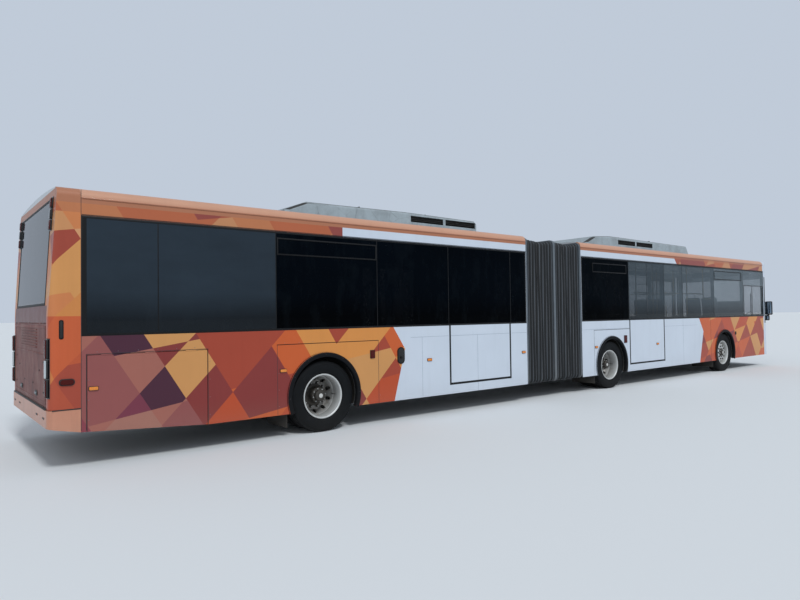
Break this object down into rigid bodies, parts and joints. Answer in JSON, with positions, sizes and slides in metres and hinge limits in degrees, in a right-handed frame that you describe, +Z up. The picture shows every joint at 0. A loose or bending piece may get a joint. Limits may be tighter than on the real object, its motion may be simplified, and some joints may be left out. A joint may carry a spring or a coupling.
{
  "type": "articulated bus",
  "caption": "Low-floor articulated city bus: two glazed saloons joined by a pivot with bellows, steered front wheels, twin mid and rear wheels, opening doors and lids.",
  "frame": {"origin": "on the ground, on the centreline, midway between tail and nose", "axes": "+X forward to the nose, +Y to the left, +Z up"},
  "size_m": [18.2195, 2.77, 3.205],
  "materials": {
    "floor_covering": "matte",
    "body_paint": "gloss",
    "orange_paint": "gloss",
    "roof_paint": "satin",
    "dark_glass": "gloss",
    "clear_glass": "gloss",
    "pod_shell": "weathered",
    "lamp_lens": "gloss",
    "head_lens": "gloss",
    "black_plastic": "matte",
    "cab_plastic": "matte",
    "seat_fabric": "woven",
    "chassis_paint": "matte",
    "joint_frame": "satin",
    "bellows_fabric": "matte",
    "tyre": "matte",
    "rim_paint": "satin",
    "door_frame": "satin",
    "peach_paint": "gloss",
    "white_lining": "matte"
  },
  "bodies": {
    "front_section": {"front_floor": "floor_covering", "front_wheel_houses": "white_lining", "front_side_right": "body_paint", "front_side_left": "body_paint", "front_roof": "roof_paint", "front_mask": "body_paint", "windscreen": "clear_glass", "front_glazing": "clear_glass", "front_roof_pod": "pod_shell", "headlamps": "head_lens", "mirrors": "black_plastic", "driver_station": "cab_plastic", "front_seats": "seat_fabric", "front_underframe": "chassis_paint", "front_axles": "chassis_paint", "turntable": "chassis_paint", "front_joint_portal": "joint_frame", "front_bellows": "bellows_fabric"},
    "rear_section": {"rear_floor": "floor_covering", "rear_wheel_houses": "white_lining", "rear_side_right": "body_paint", "rear_side_left": "body_paint", "rear_roof": "roof_paint", "tail_cap": "orange_paint", "rear_window": "dark_glass", "rear_glazing": "dark_glass", "rear_roof_pod": "pod_shell", "rear_bumper": "peach_paint", "tail_lamps": "lamp_lens", "rear_seats": "seat_fabric", "rear_underframe": "chassis_paint", "rear_axle": "chassis_paint", "engine_block": "chassis_paint", "rear_joint_portal": "joint_frame", "rear_bellows": "bellows_fabric"},
    "centre_frame": {"centre_hoop": "joint_frame", "gangway_floor": "floor_covering"},
    "engine_lid": {"engine_lid": "peach_paint"},
    "side_flap": {"side_flap": "orange_paint"},
    "knuckle_left": {"knuckle_left": "chassis_paint"},
    "front_wheel_left": {"front_tyre_left": "tyre", "front_rim_left": "rim_paint"},
    "mid_wheel_left": {"mid_tyre_left": "tyre", "mid_rim_left": "rim_paint"},
    "rear_wheel_left": {"rear_tyre_left": "tyre", "rear_rim_left": "rim_paint"},
    "knuckle_right": {"knuckle_right": "chassis_paint"},
    "front_wheel_right": {"front_tyre_right": "tyre", "front_rim_right": "rim_paint"},
    "mid_wheel_right": {"mid_tyre_right": "tyre", "mid_rim_right": "rim_paint"},
    "rear_wheel_right": {"rear_tyre_right": "tyre", "rear_rim_right": "rim_paint"},
    "rear_door_aft_leaf": {"rear_door_aft_leaf": "door_frame"},
    "rear_door_fore_leaf": {"rear_door_fore_leaf": "door_frame"},
    "centre_door_aft_leaf": {"centre_door_aft_leaf": "door_frame"},
    "centre_door_fore_leaf": {"centre_door_fore_leaf": "door_frame"},
    "front_door_aft_leaf": {"front_door_aft_leaf": "door_frame"},
    "front_door_fore_leaf": {"front_door_fore_leaf": "door_frame"}
  },
  "joints": [
    {"name": "articulation", "type": "hinge", "parent": "front_section", "child": "rear_section", "pos_m": [-0.75, 0, 0.25], "axis": [0, 0, 1], "range_deg": [-45, 45], "deforming": ["front_bellows", "rear_bellows"]},
    {"name": "centre_frame_turn", "type": "hinge", "parent": "front_section", "child": "centre_frame", "pos_m": [-0.75, 0, 0.25], "axis": [0, 0, 1], "range_deg": [-22.5, 22.5]},
    {"name": "steering_left", "type": "hinge", "parent": "front_section", "child": "knuckle_left", "pos_m": [6.32, 0.96, 0.48], "axis": [0, 0, 1], "range_deg": [-40, 40]},
    {"name": "front_wheel_left_spin", "type": "hinge", "parent": "knuckle_left", "child": "front_wheel_left", "pos_m": [6.32, 1.075, 0.48], "axis": [0, 1, 0], "continuous": true},
    {"name": "mid_wheel_left_spin", "type": "hinge", "parent": "front_section", "child": "mid_wheel_left", "pos_m": [1.11, 1.075, 0.48], "axis": [0, 1, 0], "continuous": true},
    {"name": "rear_wheel_left_spin", "type": "hinge", "parent": "rear_section", "child": "rear_wheel_left", "pos_m": [-5.792, 1.075, 0.48], "axis": [0, 1, 0], "continuous": true},
    {"name": "steering_right", "type": "hinge", "parent": "front_section", "child": "knuckle_right", "pos_m": [6.32, -0.96, 0.48], "axis": [0, 0, 1], "range_deg": [-40, 40]},
    {"name": "front_wheel_right_spin", "type": "hinge", "parent": "knuckle_right", "child": "front_wheel_right", "pos_m": [6.32, -1.075, 0.48], "axis": [0, 1, 0], "continuous": true},
    {"name": "mid_wheel_right_spin", "type": "hinge", "parent": "front_section", "child": "mid_wheel_right", "pos_m": [1.11, -1.075, 0.48], "axis": [0, 1, 0], "continuous": true},
    {"name": "rear_wheel_right_spin", "type": "hinge", "parent": "rear_section", "child": "rear_wheel_right", "pos_m": [-5.792, -1.075, 0.48], "axis": [0, 1, 0], "continuous": true},
    {"name": "rear_door_aft", "type": "hinge", "parent": "rear_section", "child": "rear_door_aft_leaf", "pos_m": [-3.45, 1.227, 1.45], "axis": [0, 0, 1], "range_deg": [0, 88]},
    {"name": "rear_door_fore", "type": "hinge", "parent": "rear_section", "child": "rear_door_fore_leaf", "pos_m": [-2.046, 1.227, 1.45], "axis": [0, 0, 1], "range_deg": [-88, 0]},
    {"name": "centre_door_aft", "type": "hinge", "parent": "front_section", "child": "centre_door_aft_leaf", "pos_m": [1.818, 1.227, 1.45], "axis": [0, 0, 1], "range_deg": [0, 88]},
    {"name": "centre_door_fore", "type": "hinge", "parent": "front_section", "child": "centre_door_fore_leaf", "pos_m": [3.222, 1.227, 1.45], "axis": [0, 0, 1], "range_deg": [-88, 0]},
    {"name": "front_door_aft", "type": "hinge", "parent": "front_section", "child": "front_door_aft_leaf", "pos_m": [7.126, 1.227, 1.45], "axis": [0, 0, 1], "range_deg": [0, 88]},
    {"name": "front_door_fore", "type": "hinge", "parent": "front_section", "child": "front_door_fore_leaf", "pos_m": [8.53, 1.227, 1.45], "axis": [0, 0, 1], "range_deg": [-88, 0]},
    {"name": "engine_lid_hinge", "type": "hinge", "parent": "rear_section", "child": "engine_lid", "pos_m": [-9.08, 0, 1.531], "axis": [0, 1, 0], "range_deg": [0, 80]},
    {"name": "side_flap_hinge", "type": "hinge", "parent": "rear_section", "child": "side_flap", "pos_m": [-8.0745, -1.25, 1.187], "axis": [-1, 0, 0], "range_deg": [0, 85]}
  ],
  "couplings": [
    {"joint": "centre_frame_turn", "follows": "articulation", "ratio": 0.5},
    {"joint": "steering_right", "follows": "steering_left", "ratio": 1},
    {"joint": "rear_door_fore", "follows": "rear_door_aft", "ratio": -1},
    {"joint": "centre_door_fore", "follows": "centre_door_aft", "ratio": -1},
    {"joint": "front_door_fore", "follows": "front_door_aft", "ratio": -1}
  ]
}
